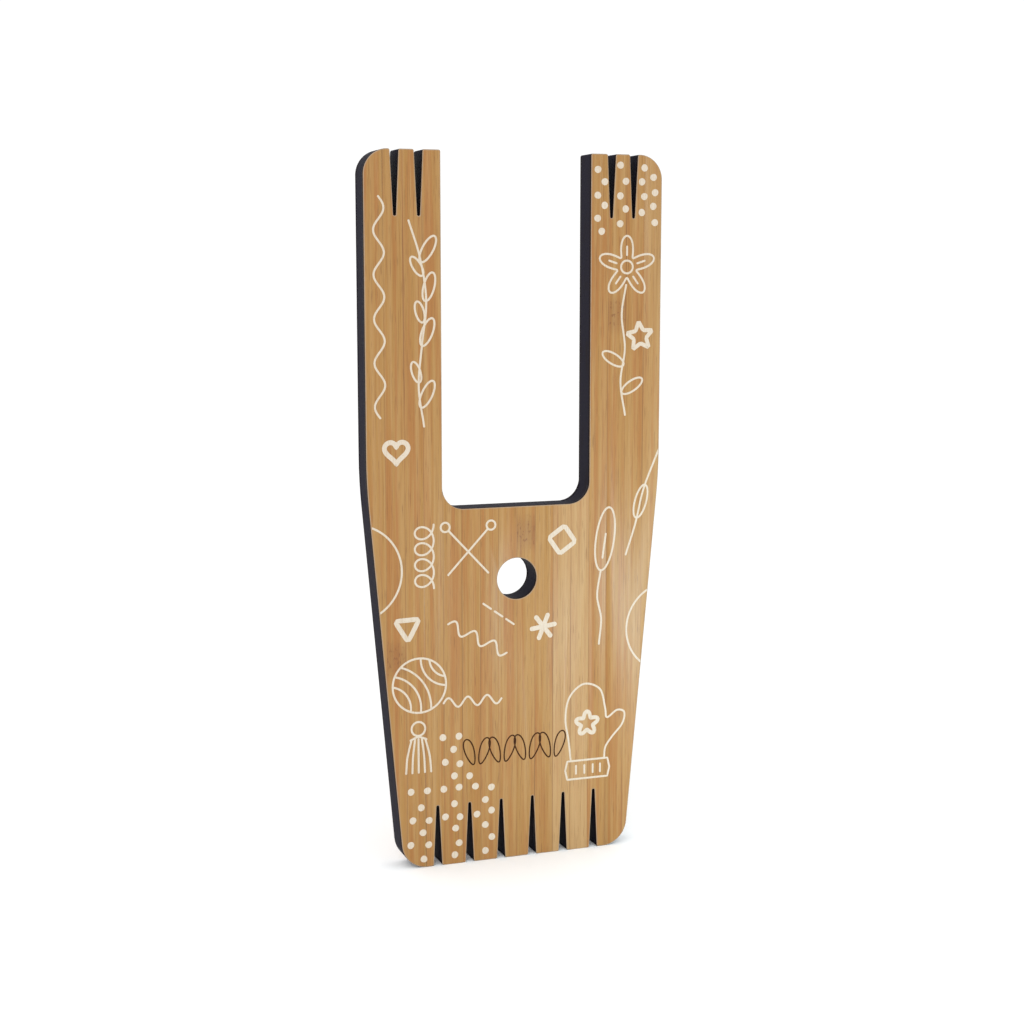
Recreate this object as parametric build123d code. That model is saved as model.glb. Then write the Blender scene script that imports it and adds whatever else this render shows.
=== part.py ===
from build123d import *
import os

# Fork-shaped hand loom cut from three-ply bamboo board.
# It stands upright: +Z runs up the two prongs, +X is to the right and the front face looks
# towards -Y.  The origin is the middle of the bottom edge.  All sizes are in millimetres.

# Board
LENGTH = 190.5
WIDTH = 83.0
CORE_THICKNESS = 4.8
FACE_THICKNESS = 1.6

# Fork
GAP_WIDTH = 41.8
FLOOR_HEIGHT = 97.3
FLOOR_CORNER_RADIUS = 5.9

# Sides: upright down to the shoulder, then tapering in towards the bottom edge
SHOULDER_HEIGHT = 105.0
FOOT_WIDTH = 64.4
SHOULDER_RADIUS = 150.0
TOP_CORNER_RADIUS = 6.5
FOOT_CORNER_RADIUS = 7.2
PRONG_TIP_RADIUS = 0.5

# Yarn slots: straight V with a round end, the teeth's corners eased
SLOT_DEPTH = 16.8
SLOT_MOUTH = 2.3
SLOT_END = 0.72
SLOT_OVERRUN = 5.0       # how far the cutter reaches past the board's edge
TOOTH_CORNER_RADIUS = 0.5
TOP_SLOT_OFFSETS = (26.85, 33.25)
FOOT_SLOT_PITCH = 9.07
FOOT_SLOT_COUNT = 6

# Round hole on the centre line
HOLE_RADIUS = 5.6
HOLE_HEIGHT = 77.7

# Glued strips and slats
STRIP_PITCH = 5.2
STRIP_COUNT = 16
SLAT_COUNT = 12

NEAR = 0.01              # two places closer than this count as one


def is_at(vertex, place):
    """True for a vertex at this (x, z) place of the front view."""
    return abs(vertex.X - place[0]) < NEAR and abs(vertex.Y - place[1]) < NEAR


def round_corners(face, places, radius):
    """The face with the corners at these (x, z) places rounded."""
    corners = [v for v in face.vertices() if any(is_at(v, place) for place in places)]
    return fillet(corners, radius)


def board_outline():
    """The fork's outline with rounded corners, before slots and hole."""
    half, foot, gap = WIDTH / 2, FOOT_WIDTH / 2, GAP_WIDTH / 2
    right_side = [
        (foot, 0, FOOT_CORNER_RADIUS),
        (half, SHOULDER_HEIGHT, SHOULDER_RADIUS),
        (half, LENGTH, TOP_CORNER_RADIUS),
        (gap, LENGTH, PRONG_TIP_RADIUS),
        (gap, FLOOR_HEIGHT, FLOOR_CORNER_RADIUS),
    ]
    left_side = [(-x, z, r) for x, z, r in reversed(right_side)]
    outline = Polyline(*[(x, z) for x, z, r in right_side + left_side], close=True)
    face = make_face(outline)
    for x, z, radius in right_side:
        face = round_corners(face, [(x, z), (-x, z)], radius)
    return face


def slot():
    """One V slot, its mouth on the X axis and its round end up at SLOT_DEPTH."""
    end = SLOT_END / 2
    slope = (SLOT_MOUTH / 2 - end) / (SLOT_DEPTH - end)
    widest = SLOT_MOUTH / 2 + slope * SLOT_OVERRUN
    flanks = make_face(
        Polyline(
            (-widest, -SLOT_OVERRUN),
            (widest, -SLOT_OVERRUN),
            (end, SLOT_DEPTH - end),
            (-end, SLOT_DEPTH - end),
            close=True,
        )
    )
    return flanks + Pos(0, SLOT_DEPTH - end) * Circle(end)


def slot_places():
    """The X place of every slot along the foot and along the two prong tips."""
    middle = (FOOT_SLOT_COUNT - 1) / 2
    foot = [(i - middle) * FOOT_SLOT_PITCH for i in range(FOOT_SLOT_COUNT)]
    top = [side * x for side in (-1, 1) for x in TOP_SLOT_OFFSETS]
    return foot, top


def is_tooth_corner(vertex, mouths):
    """True for the two corners where a slot's flanks meet the board's edge."""
    reach = SLOT_MOUTH / 2 + 0.1
    return any(abs(vertex.X - x) < reach and abs(vertex.Y - z) < NEAR for x, z in mouths)


def board_face():
    """The whole front view of the board, cut out as one flat face."""
    foot, top = slot_places()
    face = board_outline()
    for x in foot:
        face -= Pos(x, 0) * slot()
    for x in top:
        face -= Pos(x, LENGTH) * Rot(0, 0, 180) * slot()
    mouths = [(x, 0) for x in foot] + [(x, LENGTH) for x in top]
    corners = [v for v in face.vertices() if is_tooth_corner(v, mouths)]
    face = fillet(corners, TOOTH_CORNER_RADIUS)
    return face - Pos(0, HOLE_HEIGHT) * Circle(HOLE_RADIUS)


def cut_piece(face, x_limits, z_limits, low_y, thickness):
    """The part of the board inside a rectangle, as thick as its ply, standing upright."""
    wide, tall = x_limits[1] - x_limits[0], z_limits[1] - z_limits[0]
    window = Pos(sum(x_limits) / 2, sum(z_limits) / 2) * Rectangle(wide, tall)
    flat = window & face
    upright = Plane(origin=(0, low_y + thickness, 0), x_dir=(1, 0, 0), z_dir=(0, -1, 0))
    return extrude(upright * flat, thickness)


def strip_limits(index):
    """The X limits of a strip; the outer two are trimmed by the board's sides."""
    low = (index - STRIP_COUNT / 2) * STRIP_PITCH
    return low, low + STRIP_PITCH


def face_ply(face, side, low_y):
    """The upright strips of the front or back ply."""
    pieces = {}
    for i in range(STRIP_COUNT):
        name = f"{side}_strip_{i + 1:02d}"
        pieces[name] = cut_piece(face, strip_limits(i), (0, LENGTH), low_y, FACE_THICKNESS)
    return pieces


def core_ply(face):
    """The cross-grain slats of the core, from the foot up."""
    pieces = {}
    height = LENGTH / SLAT_COUNT
    across = (-WIDTH / 2, WIDTH / 2)
    for i in range(SLAT_COUNT):
        name = f"core_slat_{i + 1:02d}"
        upward = (i * height, (i + 1) * height)
        pieces[name] = cut_piece(face, across, upward, -CORE_THICKNESS / 2, CORE_THICKNESS)
    return pieces


def main():
    face = board_face()
    front_y = -CORE_THICKNESS / 2 - FACE_THICKNESS
    pieces = face_ply(face, "front", front_y)
    pieces |= face_ply(face, "back", CORE_THICKNESS / 2)
    pieces |= core_ply(face)
    os.makedirs("parts", exist_ok=True)
    for name, shape in pieces.items():
        export_step(shape, f"parts/{name}.step")


main()
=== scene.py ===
import math
import random

import bmesh
import bpy
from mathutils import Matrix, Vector


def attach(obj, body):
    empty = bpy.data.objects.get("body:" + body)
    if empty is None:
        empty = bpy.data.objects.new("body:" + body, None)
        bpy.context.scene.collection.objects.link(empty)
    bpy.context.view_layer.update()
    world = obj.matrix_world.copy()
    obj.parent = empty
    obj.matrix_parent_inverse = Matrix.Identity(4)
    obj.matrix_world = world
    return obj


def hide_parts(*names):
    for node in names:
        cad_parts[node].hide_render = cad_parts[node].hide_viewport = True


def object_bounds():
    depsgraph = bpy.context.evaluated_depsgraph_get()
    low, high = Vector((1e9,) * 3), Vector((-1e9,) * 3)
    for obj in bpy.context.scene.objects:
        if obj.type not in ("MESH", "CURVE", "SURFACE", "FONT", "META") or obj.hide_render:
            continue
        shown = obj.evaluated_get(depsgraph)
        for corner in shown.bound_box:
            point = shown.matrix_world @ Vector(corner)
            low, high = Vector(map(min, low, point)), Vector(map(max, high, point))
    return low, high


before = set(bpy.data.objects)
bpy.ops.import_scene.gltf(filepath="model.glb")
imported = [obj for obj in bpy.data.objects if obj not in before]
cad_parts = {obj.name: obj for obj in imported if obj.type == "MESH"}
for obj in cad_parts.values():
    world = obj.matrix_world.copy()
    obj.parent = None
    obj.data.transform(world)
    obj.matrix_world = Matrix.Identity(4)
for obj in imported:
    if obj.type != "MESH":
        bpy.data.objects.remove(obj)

cad_low, cad_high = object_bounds()

# ---------------------------------------------------------------- sizes, in millimetres
MM = 0.001
LENGTH = (cad_high.z - cad_low.z) / MM
HALF_WIDTH = (cad_high.x - cad_low.x) / 2 / MM
FRONT = cad_low.y / MM
BACK = cad_high.y / MM
STRIP_PITCH = 5.2
STRIP_COUNT = 16
SLAT_COUNT = 12
GAP_HALF_WIDTH = 20.9    # half the gap between the prongs
SHOULDER_HEIGHT = 105.0  # the sides taper below this
FOOT_HALF_WIDTH = 32.2

EDGE_ROUND = 0.26        # the sanded edge round both faces
INK_HEIGHT = 0.035       # printed ink stands this proud
INK_SINK = 0.012         # and its underside lies this deep
INK_SLOPE = 0.05         # width of the ink's sloping border
DOT_SLOPE = 0.07
INK_RISE = 0.004         # it thickens by this along a line, so that it crosses itself cleanly
LINE_WIDTH = 0.58
BOLD_WIDTH = 1.32
DOT_RADIUS = 0.98
BURN_WIDTH = 0.42        # the laser-drawn line, a thin dark crust
BURN_HEIGHT = 0.008
BURN_SLOPE = 0.02

# ---------------------------------------------------------------- camera, first
VIEW_AZIMUTH = math.radians(-19.8)
VIEW_ELEVATION = math.radians(7.9)
VIEW_DISTANCE = 0.461
VIEW_LENS = 60


def make_camera():
    """A camera at the photograph's side: a little left of the front and above the middle."""
    data = bpy.data.cameras.new("camera")
    data.lens = VIEW_LENS
    data.sensor_width = 36
    camera = bpy.data.objects.new("camera", data)
    bpy.context.scene.collection.objects.link(camera)
    level = math.cos(VIEW_ELEVATION)
    back = Vector(
        (
            math.sin(VIEW_AZIMUTH) * level,
            -math.cos(VIEW_AZIMUTH) * level,
            math.sin(VIEW_ELEVATION),
        )
    )
    aim = (cad_low + cad_high) / 2
    camera.location = aim + back * VIEW_DISTANCE
    camera.rotation_mode = "QUATERNION"
    camera.rotation_quaternion = (-back).to_track_quat("-Z", "Y")
    bpy.context.scene.camera = camera


make_camera()


# ---------------------------------------------------------------- material helpers
def new_material(name):
    """An empty node material with its output and principled shader."""
    material = bpy.data.materials.new(name)
    material.use_nodes = True
    tree = material.node_tree
    tree.nodes.clear()
    output = tree.nodes.new("ShaderNodeOutputMaterial")
    shader = tree.nodes.new("ShaderNodeBsdfPrincipled")
    tree.links.new(shader.outputs[0], output.inputs[0])
    return material, tree, shader


def put(tree, value, socket):
    """Sets a socket to a value, or links it to another node's output."""
    if isinstance(value, bpy.types.NodeSocket):
        tree.links.new(value, socket)
    else:
        socket.default_value = value


def maths(tree, operation, *values, clamp=False):
    node = tree.nodes.new("ShaderNodeMath")
    node.operation = operation
    node.use_clamp = clamp
    for value, socket in zip(values, node.inputs):
        put(tree, value, socket)
    return node.outputs[0]


def mix(tree, factor, first, second, blend="MIX"):
    node = tree.nodes.new("ShaderNodeMix")
    node.data_type = "RGBA"
    node.blend_type = blend
    put(tree, factor, node.inputs["Factor"])
    for value, socket in ((first, node.inputs[6]), (second, node.inputs[7])):
        put(tree, value, socket)
    return node.outputs[2]


def ramp(tree, value, low, high):
    """0 below low, 1 above high, and smooth between."""
    node = tree.nodes.new("ShaderNodeMapRange")
    node.interpolation_type = "SMOOTHSTEP"
    put(tree, value, node.inputs["Value"])
    node.inputs["From Min"].default_value = low
    node.inputs["From Max"].default_value = high
    return node.outputs[0]


def noise(tree, place, per_mm, detail=2.0, rough=0.5):
    """Noise over a place in millimetres, with this many features per millimetre on each axis."""
    scaled = tree.nodes.new("ShaderNodeVectorMath")
    scaled.operation = "MULTIPLY"
    tree.links.new(place, scaled.inputs[0])
    scaled.inputs[1].default_value = per_mm
    node = tree.nodes.new("ShaderNodeTexNoise")
    node.inputs["Scale"].default_value = 1.0
    node.inputs["Detail"].default_value = detail
    node.inputs["Roughness"].default_value = rough
    tree.links.new(scaled.outputs[0], node.inputs["Vector"])
    return node.outputs[0]


def attribute(tree, name):
    node = tree.nodes.new("ShaderNodeAttribute")
    node.attribute_name = name
    return node.outputs["Fac"]


def place_in_mm(tree):
    """The point on the object in millimetres, moved along by the strip's own seed."""
    coordinates = tree.nodes.new("ShaderNodeTexCoord")
    scaled = tree.nodes.new("ShaderNodeVectorMath")
    scaled.operation = "SCALE"
    tree.links.new(coordinates.outputs["Object"], scaled.inputs[0])
    scaled.inputs["Scale"].default_value = 1 / MM
    shift = tree.nodes.new("ShaderNodeCombineXYZ")
    seed = attribute(tree, "seed")
    put(tree, maths(tree, "MULTIPLY", seed, 71.0), shift.inputs[0])
    put(tree, maths(tree, "MULTIPLY", seed, 437.0), shift.inputs[2])
    moved = tree.nodes.new("ShaderNodeVectorMath")
    moved.operation = "ADD"
    tree.links.new(scaled.outputs[0], moved.inputs[0])
    tree.links.new(shift.outputs[0], moved.inputs[1])
    return scaled.outputs[0], moved.outputs[0]


def bump(tree, height, distance, strength):
    node = tree.nodes.new("ShaderNodeBump")
    node.inputs["Strength"].default_value = strength
    node.inputs["Distance"].default_value = distance
    tree.links.new(height, node.inputs["Height"])
    return node.outputs[0]


# ---------------------------------------------------------------- materials
BAMBOO_TAN = (0.384, 0.222, 0.081, 1)
BAMBOO_GOLD = (0.314, 0.156, 0.034, 1)
BAMBOO_RUST = (0.305, 0.120, 0.027, 1)
FIBRE_BROWN = (0.150, 0.060, 0.016, 1)
BAMBOO_PALE = (0.470, 0.320, 0.165, 1)
KNUCKLE_RED = (0.150, 0.048, 0.014, 1)
# Grey of the edge round: laser soot, and partly a painted highlight.
RIM_GREY = (0.330, 0.240, 0.165, 1)
# Charred black with a painted cool reflection, which makes it navy.
CHAR_REFLECTED_NAVY = (0.0085, 0.0070, 0.0150, 1)
CHAR_BROWN = (0.0080, 0.0035, 0.0030, 1)
BURN_BROWN = (0.070, 0.025, 0.008, 1)
BURN_DARK = (0.026, 0.009, 0.004, 1)
INK_CREAM = (0.575, 0.500, 0.405, 1)
INK_THIN = (0.440, 0.330, 0.220, 1)


def bamboo_colour(tree):
    """Upright bamboo grain: soft stripes, fine fibres, dark vessels, glue lines and knuckles."""
    place, own = place_in_mm(tree)
    parts = tree.nodes.new("ShaderNodeSeparateXYZ")
    tree.links.new(place, parts.inputs[0])
    stripes = noise(tree, own, (0.85, 0.3, 0.010), 2.0, 0.6)
    hues = noise(tree, own, (0.55, 0.2, 0.016), 3.0, 0.65)
    fibres = noise(tree, own, (3.4, 1.0, 0.045), 3.0, 0.7)
    vessels = noise(tree, own, (5.0, 1.0, 0.14), 1.0, 0.4)
    depth = maths(tree, "MULTIPLY_ADD", ramp(tree, stripes, 0.34, 0.66), 0.62, 0.10)
    depth = maths(tree, "ADD", depth, attribute(tree, "tone"), clamp=True)
    colour = mix(tree, depth, BAMBOO_TAN, BAMBOO_GOLD)
    rust = maths(tree, "MULTIPLY", ramp(tree, hues, 0.42, 0.66), 0.75)
    colour = mix(tree, rust, colour, BAMBOO_RUST)
    # Paler strips: real bleaching, and on the right-hand strips partly a painted sheen.
    bleach_and_sheen = maths(tree, "MULTIPLY", attribute(tree, "tone"), -1.7, clamp=True)
    colour = mix(tree, bleach_and_sheen, colour, BAMBOO_PALE)
    pale = maths(tree, "MULTIPLY", maths(tree, "SUBTRACT", 1.0, ramp(tree, fibres, 0.28, 0.48)), 0.42)
    colour = mix(tree, pale, colour, BAMBOO_TAN)
    dark = maths(tree, "MULTIPLY", ramp(tree, fibres, 0.52, 0.74), 0.58)
    colour = mix(tree, dark, colour, FIBRE_BROWN)
    colour = mix(tree, maths(tree, "MULTIPLY", ramp(tree, vessels, 0.63, 0.71), 0.52), colour, FIBRE_BROWN)
    joint = maths(tree, "PINGPONG", parts.outputs[0], STRIP_PITCH / 2)
    glue = maths(tree, "SUBTRACT", 1.0, ramp(tree, joint, 0.06, 0.20))
    patchy = ramp(tree, noise(tree, place, (0.19, 0.0, 0.011), 1.0), 0.42, 0.60)
    glue = maths(tree, "MULTIPLY", glue, maths(tree, "MULTIPLY_ADD", patchy, 0.45, 0.12))
    colour = mix(tree, glue, colour, FIBRE_BROWN)
    near = maths(tree, "ABSOLUTE", maths(tree, "SUBTRACT", parts.outputs[2], attribute(tree, "knuckle")))
    near = maths(tree, "SUBTRACT", 1.0, ramp(tree, near, 1.5, 6.5))
    specks = ramp(tree, noise(tree, own, (1.9, 1.0, 0.9), 1.0), 0.58, 0.68)
    knuckle = maths(tree, "MULTIPLY", near, maths(tree, "MULTIPLY_ADD", specks, 0.45, 0.26))
    colour = mix(tree, knuckle, colour, KNUCKLE_RED)
    return colour, fibres


def bamboo_material():
    """Satin bamboo face."""
    material, tree, shader = new_material("bamboo_face")
    colour, fibres = bamboo_colour(tree)
    put(tree, colour, shader.inputs["Base Color"])
    put(tree, maths(tree, "MULTIPLY_ADD", fibres, 0.14, 0.28), shader.inputs["Roughness"])
    shader.inputs["Specular IOR Level"].default_value = 0.42
    put(tree, bump(tree, fibres, 0.00003, 0.45), shader.inputs["Normal"])
    return material


def rim_material():
    """The narrow sanded edge, greyed partly by laser soot and partly by a painted highlight of the rounded
    edge.
    """
    material, tree, shader = new_material("bamboo_rim")
    colour = bamboo_colour(tree)[0]
    place = place_in_mm(tree)[0]
    # Grey patches on the rim: soot stain, and partly a painted highlight of the edge.
    smoke_and_highlight = ramp(tree, noise(tree, place, (0.7, 0.7, 0.7), 2.0), 0.3, 0.7)
    smoke_and_highlight = maths(tree, "MULTIPLY_ADD", smoke_and_highlight, 0.30, 0.55)
    put(tree, mix(tree, smoke_and_highlight, colour, RIM_GREY), shader.inputs["Base Color"])
    shader.inputs["Roughness"].default_value = 0.45
    shader.inputs["Specular IOR Level"].default_value = 0.4
    return material


def char_material():
    """Laser-charred wall: brown-black at each face, navy-black between, with fine beam lines.
    The navy is a painted cool reflection on the char.
    """
    material, tree, shader = new_material("charred_wall")
    place = place_in_mm(tree)[0]
    parts = tree.nodes.new("ShaderNodeSeparateXYZ")
    tree.links.new(place, parts.inputs[0])
    lines = noise(tree, place, (3.2, 0.12, 3.2), 2.0, 0.6)
    cloud = noise(tree, place, (0.16, 0.5, 0.10), 2.0, 0.5)
    edge = ramp(tree, maths(tree, "ABSOLUTE", parts.outputs[1]), 2.6, 3.5)
    edge = maths(tree, "MAXIMUM", edge, maths(tree, "MULTIPLY", ramp(tree, cloud, 0.50, 0.75), 0.5))
    # Navy between the faces: a painted cool reflection on the brown-black char.
    colour = mix(tree, edge, CHAR_REFLECTED_NAVY, CHAR_BROWN)
    shade = maths(tree, "MULTIPLY_ADD", lines, 1.1, 0.45)
    colour = mix(tree, 1.0, colour, shade, "MULTIPLY")
    put(tree, colour, shader.inputs["Base Color"])
    put(tree, maths(tree, "MULTIPLY_ADD", lines, 0.25, 0.55), shader.inputs["Roughness"])
    shader.inputs["Specular IOR Level"].default_value = 0.07
    put(tree, bump(tree, lines, 0.00006, 0.6), shader.inputs["Normal"])
    return material


def ink_material():
    """Matt cream ink; the grain shows through it a little."""
    material, tree, shader = new_material("white_ink")
    place = place_in_mm(tree)[0]
    grain = noise(tree, place, (3.4, 1.0, 0.20), 3.0, 0.7)
    speckle = noise(tree, place, (4.5, 4.5, 4.5), 2.0, 0.6)
    worn = maths(tree, "MULTIPLY", ramp(tree, grain, 0.46, 0.72), 0.60)
    colour = mix(tree, worn, INK_CREAM, INK_THIN)
    thin = maths(tree, "MULTIPLY", ramp(tree, speckle, 0.52, 0.70), 0.55)
    colour = mix(tree, thin, colour, INK_THIN)
    put(tree, colour, shader.inputs["Base Color"])
    put(tree, maths(tree, "MULTIPLY_ADD", speckle, 0.2, 0.5), shader.inputs["Roughness"])
    shader.inputs["Specular IOR Level"].default_value = 0.25
    put(tree, bump(tree, speckle, 0.00002, 0.4), shader.inputs["Normal"])
    return material


def scorch_material():
    """The dark crust of the laser-drawn line."""
    material, tree, shader = new_material("scorched_line")
    place = place_in_mm(tree)[0]
    ash = noise(tree, place, (3.0, 3.0, 1.0), 2.0, 0.6)
    colour = mix(tree, ramp(tree, ash, 0.35, 0.75), BURN_DARK, BURN_BROWN)
    put(tree, colour, shader.inputs["Base Color"])
    shader.inputs["Roughness"].default_value = 0.8
    shader.inputs["Specular IOR Level"].default_value = 0.1
    return material


BAMBOO = bamboo_material()
RIM = rim_material()
CHAR = char_material()
WHITE = ink_material()
SCORCHED = scorch_material()


# ---------------------------------------------------------------- bamboo strips and slats
# From left to right: how deep each strip's colour is. Below zero it is paler instead.
# Strips 11 and 12 are pale from bleaching; the pale right-hand strips, 13 to 16, are partly a painted
# sheen.
STRIP_TONES = (
    0.26, 0.24, 0.20, 0.06, 0.28, 0.30, 0.26, 0.14,
    0.22, 0.14, -0.16, -0.22, 0.06, 0.06, 0.06, -0.06,
)
# The few knuckles: which strip, counted from the left, and how high.
FRONT_KNUCKLES = {1: 58, 8: 90, 13: 148}
BACK_KNUCKLES = {3: 118, 6: 44, 12: 71}
NO_KNUCKLE = -50.0       # well below the board
GRAIN_STEP = 0.618       # moves the grain on from strip to strip
BACK_GRAIN = 0.31


def set_attribute(mesh, name, value):
    layer = mesh.attributes.new(name, "FLOAT", "POINT")
    layer.data.foreach_set("value", [value] * len(mesh.vertices))


def is_joint_wall(face):
    """True for a wall where one strip is glued to the next."""
    if abs(face.normal.x) < 0.999:
        return False
    x = face.calc_center_median().x / MM
    nearest = round(x / STRIP_PITCH) * STRIP_PITCH
    return abs(x - nearest) < 0.02 and abs(nearest) < HALF_WIDTH - 1


def round_outer_edges(bm, level, outward):
    """Rounds the edges where a strip's outer face meets the board's cut walls."""
    edges = []
    for edge in bm.edges:
        if any(abs(v.co.y - level) > 1e-6 for v in edge.verts) or len(edge.link_faces) != 2:
            continue
        walls = [f for f in edge.link_faces if f.normal.y * outward < 0.5]
        if walls and not is_joint_wall(walls[0]):
            edges.append(edge)
    bmesh.ops.bevel(
        bm,
        geom=edges,
        offset=EDGE_ROUND * MM,
        segments=3,
        profile=0.5,
        affect="EDGES",
        clamp_overlap=True,
    )


def finished_strip(side, index, tone, knuckle):
    """A glued strip from its CAD solid, with sanded outer edges and charred walls."""
    node = f"{side}_strip_{index + 1:02d}"
    outward = -1 if side == "front" else 1
    level = (FRONT if side == "front" else BACK) * MM
    bm = bmesh.new()
    bm.from_mesh(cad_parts[node].data)
    bmesh.ops.remove_doubles(bm, verts=bm.verts, dist=1e-6)
    bmesh.ops.dissolve_limit(bm, angle_limit=math.radians(0.5), verts=bm.verts, edges=bm.edges)
    bm.normal_update()
    round_outer_edges(bm, level, outward)
    bm.normal_update()
    for face in bm.faces:
        facing = face.normal.y * outward
        face.material_index = 0 if facing > 0.999 else 1 if facing > 0.60 else 2
        face.smooth = facing < 0.999
    mesh = bpy.data.meshes.new(f"{node}_wood")
    bm.to_mesh(mesh)
    bm.free()
    for material in (BAMBOO, RIM, CHAR):
        mesh.materials.append(material)
    mesh.set_sharp_from_angle(angle=math.radians(40))
    set_attribute(mesh, "tone", tone)
    set_attribute(mesh, "knuckle", knuckle)
    shift = BACK_GRAIN if side == "back" else 0.0
    set_attribute(mesh, "seed", (index * GRAIN_STEP + shift) % 1.0)
    strip = bpy.data.objects.new(f"{node}_wood", mesh)
    bpy.context.scene.collection.objects.link(strip)
    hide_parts(node)
    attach(strip, "root")


def make_strips():
    for index in range(STRIP_COUNT):
        knuckle = FRONT_KNUCKLES.get(index, NO_KNUCKLE)
        finished_strip("front", index, STRIP_TONES[index], knuckle)
        knuckle = BACK_KNUCKLES.get(index, NO_KNUCKLE)
        finished_strip("back", index, STRIP_TONES[-1 - index], knuckle)


def finish_slats():
    """Only the slats' charred walls show, between the two face plies."""
    for index in range(SLAT_COUNT):
        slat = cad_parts[f"core_slat_{index + 1:02d}"]
        slat.data.materials.clear()
        slat.data.materials.append(CHAR)


make_strips()
finish_slats()


# ---------------------------------------------------------------- paths and ribbons
def smooth_path(points, step=0.35):
    """Points along a Catmull-Rom curve through a few given (x, z) points."""
    pts = [Vector(p) for p in points]
    pts = [pts[0] * 2 - pts[1]] + pts + [pts[-1] * 2 - pts[-2]]
    path = []
    for a, b, c, d in zip(pts, pts[1:], pts[2:], pts[3:]):
        count = max(2, round((c - b).length / step))
        for i in range(count):
            t = i / count
            bend = (2 * a - 5 * b + 4 * c - d) * t * t + (3 * b - a - 3 * c + d) * t**3
            path.append(0.5 * (2 * b + (c - a) * t + bend))
    return path + [pts[-2]]


def straight_path(start, end, step=0.5):
    start, end = Vector(start), Vector(end)
    count = max(2, round((end - start).length / step))
    return [start.lerp(end, i / count) for i in range(count + 1)]


def arc_path(x, z, radius, start, end, step=0.3):
    """Points along a circle's arc, its angles in degrees."""
    count = max(6, round(abs(math.radians(end - start)) * radius / step))
    angles = [math.radians(start + (end - start) * i / count) for i in range(count + 1)]
    return [Vector((x + radius * math.cos(a), z + radius * math.sin(a))) for a in angles]


def ring_path(x, z, radius, step=0.3):
    """Points round a whole circle."""
    return arc_path(x, z, radius, 0, 360, step)[:-1]


def wavy_ring(x, z, radius, swing, petals, turn=0, count=90):
    """Points round a circle whose radius swings out into petals."""
    path = []
    for i in range(count):
        angle = 2 * math.pi * i / count
        reach = radius + swing * math.cos(petals * (angle - math.radians(turn)))
        path.append(Vector((x + reach * math.cos(angle), z + reach * math.sin(angle))))
    return path


def leaf_path(x, z, length, width, angle, taper=0.0):
    """The outline of a leaf whose stalk end is at (x, z)."""
    turn = math.radians(angle)
    along = Vector((math.cos(turn), math.sin(turn)))
    across = Vector((-along.y, along.x))
    path = []
    for i in range(36):
        round_trip = 2 * math.pi * i / 36
        forward = (1 - math.cos(round_trip)) / 2
        bulge = math.sin(round_trip) * (1 + taper * (forward - 0.5)) * width / 2
        path.append(Vector((x, z)) + along * (length * forward) + across * bulge)
    return path


def coil_path(x, top, bottom, radius, turns):
    """A strand coiling evenly down an upright line."""
    path = []
    count = turns * 40
    for i in range(count + 1):
        angle = 2 * math.pi * turns * i / count
        z = top + (bottom - top) * i / count
        path.append(Vector((x + radius * math.cos(angle), z - radius * math.sin(angle))))
    return path


def ripple_path(start, end, swing, waves):
    """A strand rippling evenly from one point to another."""
    start, end = Vector(start), Vector(end)
    along = (end - start).normalized()
    across = Vector((-along.y, along.x))
    path = []
    count = waves * 24
    for i in range(count + 1):
        angle = 2 * math.pi * waves * i / count
        path.append(start.lerp(end, i / count) + across * swing * math.sin(angle))
    return path


def polygon_path(x, z, radius, corners, turn, inner=None):
    """A polygon or star outline with clipped corners."""
    points = []
    steps = corners * (2 if inner else 1)
    for i in range(steps):
        angle = math.radians(turn + 360 * i / steps)
        reach = inner if inner and i % 2 else radius
        points.append(Vector((x + reach * math.cos(angle), z + reach * math.sin(angle))))
    outline = []
    for a, b in zip(points, points[1:] + points[:1]):
        outline += straight_path(a.lerp(b, 0.10), a.lerp(b, 0.90))
    return outline


def open_sections(path, radius):
    """Centre, direction and share of the width along an open band with round ends."""
    first, last = (path[0] - path[1]).normalized(), (path[-1] - path[-2]).normalized()
    turns = [math.radians(a) for a in (84, 66, 48, 30, 14)]
    head = [(path[0] + first * radius * math.sin(t), -first, math.cos(t)) for t in turns]
    tail = [(path[-1] + last * radius * math.sin(t), last, math.cos(t)) for t in turns[::-1]]
    body = []
    for i, point in enumerate(path):
        before, after = path[max(i - 1, 0)], path[min(i + 1, len(path) - 1)]
        body.append((point, after - before, 1.0))
    return head + body + tail


def closed_sections(path):
    return [(p, path[(i + 1) % len(path)] - path[i - 1], 1.0) for i, p in enumerate(path)]


def add_band(bm, sections, width, base, top, slope, closed):
    """A solid band along its sections, from depth base to depth top, with sloping borders."""
    rings = []
    for i, (centre, direction, share) in enumerate(sections):
        across = Vector((-direction.y, direction.x)).normalized()
        half = width / 2 * share
        inner = max(half - slope, half * 0.4)
        rise = INK_RISE * i / len(sections)
        ring = []
        for offset, y in ((half, base), (inner, top - rise), (-inner, top - rise), (-half, base)):
            spot = centre + across * offset
            ring.append(bm.verts.new((spot.x * MM, y * MM, spot.y * MM)))
        rings.append(ring)
    pairs = list(zip(rings, rings[1:] + rings[:1]))
    for one, two in pairs if closed else pairs[:-1]:
        for k in range(4):
            bm.faces.new((one[k], one[(k + 1) % 4], two[(k + 1) % 4], two[k]))
    if not closed:
        bm.faces.new(rings[0])
        bm.faces.new(rings[-1][::-1])


def ink(bm, path, width=None, closed=False, level=0.0):
    """Lays ink along a path; level lifts it a hair, so that crossings are clean."""
    width = width or LINE_WIDTH
    sections = closed_sections(path) if closed else open_sections(path, width / 2)
    add_band(bm, sections, width, FRONT + INK_SINK, FRONT - INK_HEIGHT - level, INK_SLOPE, closed)


def thread(bm, points, level=0.0):
    ink(bm, smooth_path(points), level=level)


def loop(bm, path, level=0.0):
    ink(bm, path, closed=True, level=level)


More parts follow.
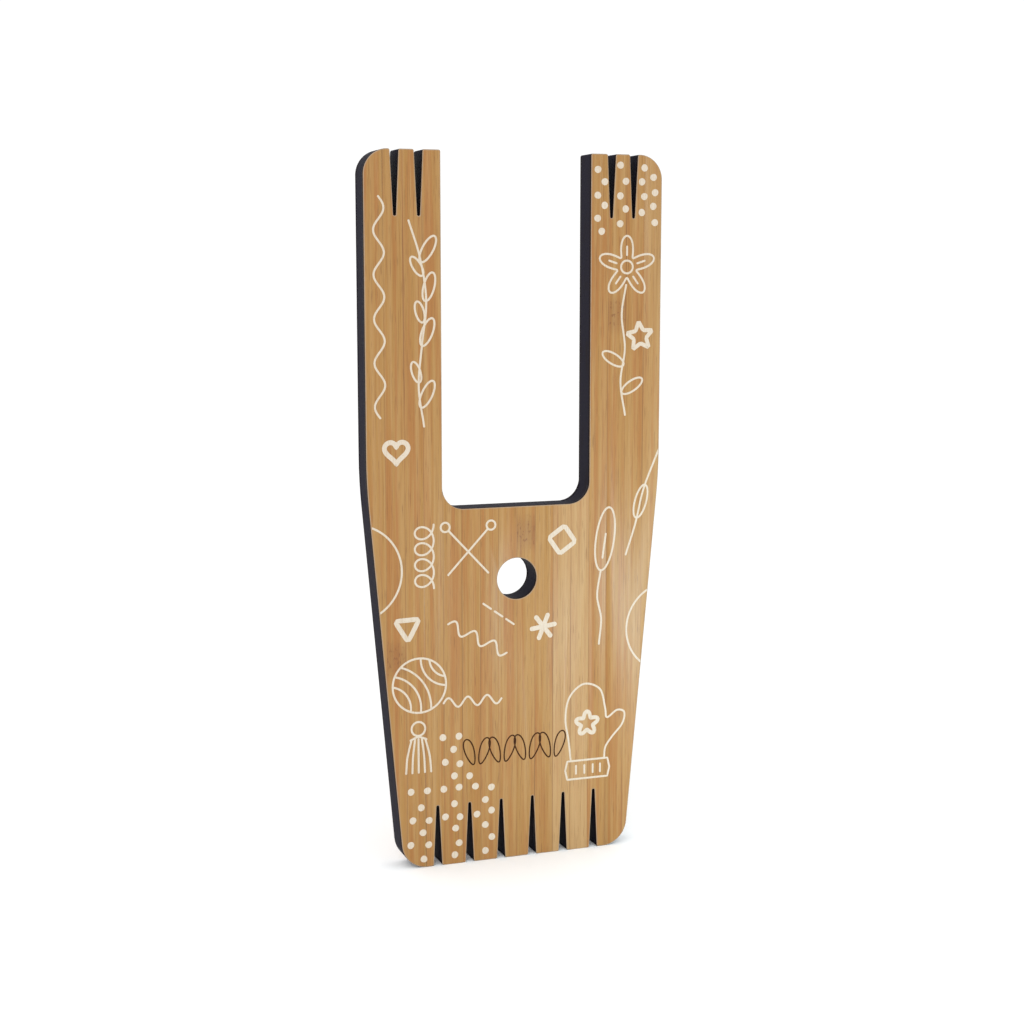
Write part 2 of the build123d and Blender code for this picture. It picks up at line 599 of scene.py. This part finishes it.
def dot(bm, x, z, radius, phase):
    """A printed dot, not perfectly round."""
    outer, inner = [], []
    for i in range(28):
        turn = 2 * math.pi * i / 28
        r = radius * (1 + 0.025 * math.sin(2 * turn + phase) + 0.02 * math.sin(3 * turn - phase))
        for ring, reach, y in ((outer, r, FRONT + INK_SINK), (inner, r - DOT_SLOPE, FRONT - INK_HEIGHT)):
            spot = (x + reach * math.cos(turn), y, z + reach * math.sin(turn))
            ring.append(bm.verts.new([c * MM for c in spot]))
    for i in range(28):
        j = (i + 1) % 28
        bm.faces.new((outer[i], outer[j], inner[j], inner[i]))
    bm.faces.new(inner)
    bm.faces.new(outer[::-1])


# The sides that ink runs off: a point just inside each, and its outward direction.
TRIM = 0.30
TAPER = Vector((HALF_WIDTH - FOOT_HALF_WIDTH, -SHOULDER_HEIGHT)).normalized()
SIDES = {
    "right": ((HALF_WIDTH - TRIM, LENGTH), (1, 0)),
    "left_taper": ((TRIM - HALF_WIDTH, SHOULDER_HEIGHT), (TAPER.y, -TAPER.x)),
    "right_taper": ((HALF_WIDTH - TRIM, SHOULDER_HEIGHT), (-TAPER.y, -TAPER.x)),
    "right_gap": ((GAP_HALF_WIDTH + TRIM, LENGTH), (-1, 0)),
}


def trim(bm, side):
    """Cuts the ink off at one side of the board and closes the cut."""
    (x, z), (nx, nz) = SIDES[side]
    bmesh.ops.bisect_plane(
        bm,
        geom=bm.verts[:] + bm.edges[:] + bm.faces[:],
        dist=1e-8,
        plane_co=(x * MM, 0, z * MM),
        plane_no=(nx, 0, nz),
        clear_outer=True,
    )
    bmesh.ops.holes_fill(bm, edges=[e for e in bm.edges if e.is_boundary], sides=0)


def lay_motif(build, *sides, material=WHITE, slot="white_ink"):
    """One motif as a closed mesh riding on the board."""
    bm = bmesh.new()
    build(bm)
    for side in sides:
        trim(bm, side)
    bmesh.ops.recalc_face_normals(bm, faces=bm.faces)
    name = f"{slot}_{build.__name__}"
    mesh = bpy.data.meshes.new(name)
    bm.to_mesh(mesh)
    bm.free()
    mesh.materials.append(material)
    piece = bpy.data.objects.new(name, mesh)
    bpy.context.scene.collection.objects.link(piece)
    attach(piece, "root")


# ---------------------------------------------------------------- printed motifs
def upright_ripple(bm):
    """A strand of yarn in even ripples up the left prong."""
    ink(bm, ripple_path((-37.6, 178.5), (-37.6, 122.0), 1.4, 5))


def sprig(bm):
    """A leafy twig up the left prong's inner side."""
    thread(bm, [(-25.8, 119.5), (-27.2, 130), (-26.2, 141), (-25, 152), (-26.6, 163), (-29.6, 172.5)])
    for x, z, turn in ((-26.6, 124.5, 64), (-26.2, 140.5, 68), (-25.3, 152, 74), (-26.4, 162, 60)):
        loop(bm, leaf_path(x, z, 7.6, 2.9, turn), 0.008)
    for x, z, turn in ((-27.0, 131, 108), (-26.0, 146.5, 106), (-26.0, 158.5, 122)):
        loop(bm, leaf_path(x, z, 5.6, 2.3, turn), 0.012)


def flower(bm):
    """A flower on the right prong, with two leaves on its stem."""
    loop(bm, wavy_ring(31.4, 160.8, 5.6, 2.7, 5, 90))
    loop(bm, ring_path(31.4, 160.8, 1.7))
    for turn in (54, 126, 198, 270, 342):
        angle = math.radians(turn + 36)
        along = Vector((math.cos(angle), math.sin(angle)))
        centre = Vector((31.4, 160.8))
        ink(bm, straight_path(centre + along * 3.2, centre + along * 5.4))
    thread(bm, [(31.2, 156), (30.0, 148), (31.0, 139), (29.8, 130), (31.2, 121)], 0.008)
    loop(bm, leaf_path(30.6, 134.5, 7.0, 2.8, 150), 0.010)
    loop(bm, leaf_path(30.2, 127.0, 7.0, 2.8, 32), 0.012)


def side_leaf(bm):
    """A long leaf on a stalk that comes in at the right side."""
    thread(bm, [(44, 117), (40.2, 108.5), (36.8, 100), (34.6, 91), (31.8, 82.5)])
    loop(bm, leaf_path(37.4, 101.6, 9.4, 3.4, 254), 0.008)


def yarn_coil(bm):
    """A strand of yarn coiled in even turns."""
    ink(bm, coil_path(-26.0, 93.5, 76.5, 2.6, 4))


def yarn_ripple(bm):
    """A strand of yarn in even ripples."""
    ink(bm, ripple_path((-19.5, 66.5), (-3.0, 57.5), 1.5, 3))


def crossed_needles(bm):
    """A pair of crossed knitting needles."""
    for lean, level in ((-1, 0.0), (1, 0.01)):
        top = Vector((-13.8 + lean * 6.4, 92.6))
        tip = Vector((-13.8 - lean * 5.6, 79.8))
        away = (top - tip).normalized()
        ink(bm, straight_path(top - away * 1.3, tip), level=level)
        loop(bm, ring_path(top.x, top.y, 1.25), level)


def running_stitches(bm):
    """A short row of running stitches below the hole."""
    for start in (0.0, 0.36, 0.72):
        a = Vector((-9.6, 71.4)).lerp(Vector((-0.6, 65.0)), start)
        b = Vector((-9.6, 71.4)).lerp(Vector((-0.6, 65.0)), start + 0.24)
        ink(bm, straight_path(a, b))


def left_arc(bm):
    """Part of a circle that the left side cuts off."""
    ink(bm, arc_path(-45.0, 81.5, 12.8, -70, 70))


def right_arc(bm):
    """Part of a circle that the right side cuts off."""
    ink(bm, arc_path(44.6, 61.5, 12.4, 110, 250))


def tall_leaf(bm):
    """A tall narrow leaf with a vein, on a long swaying stalk."""
    loop(bm, leaf_path(24.4, 78.5, 17.5, 5.4, 82))
    ink(bm, straight_path((24.9, 82), (25.8, 88.5)), level=0.005)
    thread(bm, [(24.4, 78.5), (23.4, 71.5), (24.6, 65), (24.0, 58)], 0.008)


def mitten(bm):
    """A knitted mitten with a ribbed cuff."""
    hand = [(15.8, 25.6), (15.2, 31), (14.2, 37.6), (15.4, 43.6), (19.6, 47), (24.4, 45.2)]
    hand += [(26, 39.8), (26.6, 37), (29.6, 38.8), (31.8, 38), (31.2, 34.8), (28.2, 31.4), (26.2, 28.6)]
    thread(bm, hand + [(25.8, 25.6)], 0.004)
    cuff = [(14.8, 20.2), (26.8, 20.2), (27.4, 22.8), (26.8, 25.4), (14.8, 25.4), (14.2, 22.8)]
    outline = []
    for a, b in zip(cuff, cuff[1:] + cuff[:1]):
        outline += straight_path(a, b)[:-1]
    loop(bm, outline)
    for x in (17.4, 19.9, 22.4, 24.6):
        ink(bm, straight_path((x, 21.7), (x, 23.9)))


def wound_arc(bm, x, z, radius, turn, bend):
    """One strand across the ball, from side to side: an arc about a hub outside it."""
    away = radius * 1.45
    half = math.degrees(math.acos((away**2 + bend**2 - radius**2) / (2 * away * bend)))
    hub_x = x + away * math.cos(math.radians(turn))
    hub_z = z + away * math.sin(math.radians(turn))
    ink(bm, arc_path(hub_x, hub_z, bend, turn + 180 - half, turn + 180 + half), level=0.005)


def yarn_ball(bm):
    """A ball of yarn, its end rippling away to the right."""
    x, z, radius = -27.6, 50.4, 7.4
    loop(bm, ring_path(x, z, radius))
    for turn, bend in ((215, 6.4), (215, 9.2), (215, 12.0), (42, 7.6), (42, 5.2)):
        wound_arc(bm, x, z, radius, turn, bend)
    ink(bm, ripple_path((-20.9, 45.0), (-4.5, 45.0), 1.3, 3), level=0.006)


def tassel(bm):
    """A tassel that hangs below the ball."""
    loop(bm, ring_path(-28.0, 38.6, 1.9))
    thread(bm, [(-30.2, 35.6), (-28, 36.4), (-25.8, 35.6)], 0.004)
    for i in range(5):
        spread = i - 2
        top, bottom = -28.0 + spread * 0.95, -28.0 + spread * 1.75
        thread(bm, [(top, 35.8), ((top + bottom) / 2 + spread * 0.2, 31), (bottom, 26.6)], 0.008)


def top_dots(bm):
    """Dots in zigzags down the three teeth of the right prong."""
    rng = random.Random(4)
    for x, swing, z, step, count in (
        (23.8, 1.0, 186.6, 3.3, 5),
        (30.1, 0.80, 187.6, 3.9, 5),
        (35.95, -0.35, 187.2, 4.0, 4),
        (39.2, 0.25, 184.6, 4.0, 4),
    ):
        for i in range(count):
            side = 1 if i % 2 else -1
            place = (x + side * swing, z - step * i + rng.uniform(-0.4, 0.4))
            dot(bm, *place, DOT_RADIUS, rng.uniform(0, 6))
    dot(bm, 24.0, 170.2, DOT_RADIUS, 0)


def foot_dots(bm):
    """Dots on the three left teeth of the foot, thinning out upwards."""
    rng = random.Random(11)
    for row in range(10):
        for column in range(6):
            x = -31.3 + 4.55 * column + (1.3 if row % 2 else -0.3) + rng.uniform(-0.4, 0.4)
            z = 2.4 + 3.7 * row + rng.uniform(-0.5, 0.5)
            left_side = 1.9 - 32.2 - 0.0886 * z + max(0.0, 5.0 - z) * 0.9
            inside = x > left_side and x < -5.9 - max(0.0, z - 19) * 0.62 and z < 37
            nearest_slot = min(abs(x - slot) for slot in (-22.68, -13.61, -4.54))
            clear_of_slots = nearest_slot > 1.95 or z > 18.6
            clear_of_tassel = z < 23.5 or x > -22
            if inside and clear_of_slots and clear_of_tassel:
                dot(bm, x, z, DOT_RADIUS, rng.uniform(0, 6))


def heart(bm):
    outline = []
    for i in range(72):
        t = math.radians(5 * i)
        x = 3.2 * math.sin(t) ** 3
        z = 2.6 * math.cos(t) - 1.0 * math.cos(2 * t) - 0.4 * math.cos(3 * t) - 0.2 * math.cos(4 * t)
        outline.append(Vector((-33.4 + x, 113.2 + z)))
    ink(bm, outline, BOLD_WIDTH, closed=True)


def star(bm):
    ink(bm, polygon_path(35.4, 142.2, 4.0, 5, 96, inner=1.9), 1.15, closed=True)


def diamond(bm):
    ink(bm, polygon_path(13.0, 87.6, 3.9, 4, 80), BOLD_WIDTH, closed=True)


def spark(bm):
    for i, turn in enumerate((8, 68, 128)):
        reach = Vector((math.cos(math.radians(turn)), math.sin(math.radians(turn)))) * 3.3
        centre = Vector((7.6, 64))
        ink(bm, straight_path(centre - reach, centre + reach), BOLD_WIDTH, level=0.006 * i)


def triangle(bm):
    ink(bm, polygon_path(-30.8, 66.4, 3.9, 3, 272), BOLD_WIDTH, closed=True)


def blossom(bm):
    ink(bm, wavy_ring(20.6, 35.8, 2.6, 0.75, 5, 90), 1.15, closed=True)


BRAID_CENTRE = (-0.6, 31.0)
BRAID_STITCHES = 4
BRAID_PITCH = 7.3
STITCH_LENGTH = 7.4
STITCH_WIDTH = 2.6
STITCH_LEAN = 17         # degrees from upright


def braid(bm):
    """A laser-drawn row of knit stitches, each a V of two leaning loops."""
    x0, z0 = BRAID_CENTRE
    for i in range(BRAID_STITCHES):
        foot = x0 + (i - (BRAID_STITCHES - 1) / 2) * BRAID_PITCH
        for side in (-1, 1):
            x = foot + side * (STITCH_WIDTH / 2 - 0.35)
            angle = 90 - side * STITCH_LEAN
            outline = leaf_path(x, z0 - STITCH_LENGTH / 2, STITCH_LENGTH, STITCH_WIDTH, angle, 0.5)
            sections = closed_sections(outline)
            add_band(bm, sections, BURN_WIDTH, FRONT + INK_SINK, FRONT - BURN_HEIGHT, BURN_SLOPE, True)


lay_motif(braid, material=SCORCHED, slot="scorched_line")
lay_motif(flower, "right_gap")
lay_motif(side_leaf, "right", "right_taper")
lay_motif(left_arc, "left_taper")
lay_motif(right_arc, "right_taper")
lay_motif(tall_leaf, "right_taper")
for motif in (upright_ripple, yarn_coil, yarn_ripple, sprig, crossed_needles):
    lay_motif(motif)
for motif in (running_stitches, mitten, yarn_ball, tassel):
    lay_motif(motif)
for motif in (top_dots, foot_dots, heart, star, diamond, spark, triangle, blossom):
    lay_motif(motif)


# ---------------------------------------------------------------- stage, light and world
FLOOR_RADIUS = 9.0       # metres
FLOOR_GREY = (0.97, 0.97, 0.97, 1)
WORLD_STRENGTH = 1.06
KEY_PLACE = (-0.70, -0.95, 0.80)
SHEEN_PLACE = (0.096, -0.115, 0.042)
SHEEN_AIM = (0.038, 0, 0.060)
SHEEN_COLOUR = (0.70, 0.94, 1.0)


def make_floor():
    bpy.ops.mesh.primitive_circle_add(vertices=96, radius=FLOOR_RADIUS, fill_type="NGON")
    floor = bpy.context.object
    floor.name = "floor"
    material, _, shader = new_material("pale_floor")
    shader.inputs["Base Color"].default_value = FLOOR_GREY
    shader.inputs["Roughness"].default_value = 0.9
    shader.inputs["Specular IOR Level"].default_value = 0.1
    floor.data.materials.append(material)


def area_light(name, place, aim, size, power, colour=(1, 1, 1)):
    data = bpy.data.lights.new(name, "AREA")
    data.size = size
    data.energy = power
    data.color = colour
    light = bpy.data.objects.new(name, data)
    light.location = place
    light.visible_camera = False
    direction = Vector(aim) - Vector(place)
    light.rotation_euler = direction.to_track_quat("-Z", "Y").to_euler()
    bpy.context.scene.collection.objects.link(light)


def make_light():
    """A large soft key light, a small cool light for the sheen low on the right, and a white world."""
    area_light("key", KEY_PLACE, (0, 0, 0.095), 0.8, 6.0)
    area_light("low_right", SHEEN_PLACE, SHEEN_AIM, 0.05, 0.078, SHEEN_COLOUR)
    world = bpy.data.worlds.new("studio")
    world.use_nodes = True
    world.node_tree.nodes["Background"].inputs[0].default_value = (1, 1, 1, 1)
    world.node_tree.nodes["Background"].inputs[1].default_value = WORLD_STRENGTH
    bpy.context.scene.world = world
    bpy.context.scene.view_settings.view_transform = "Standard"


make_floor()
make_light()
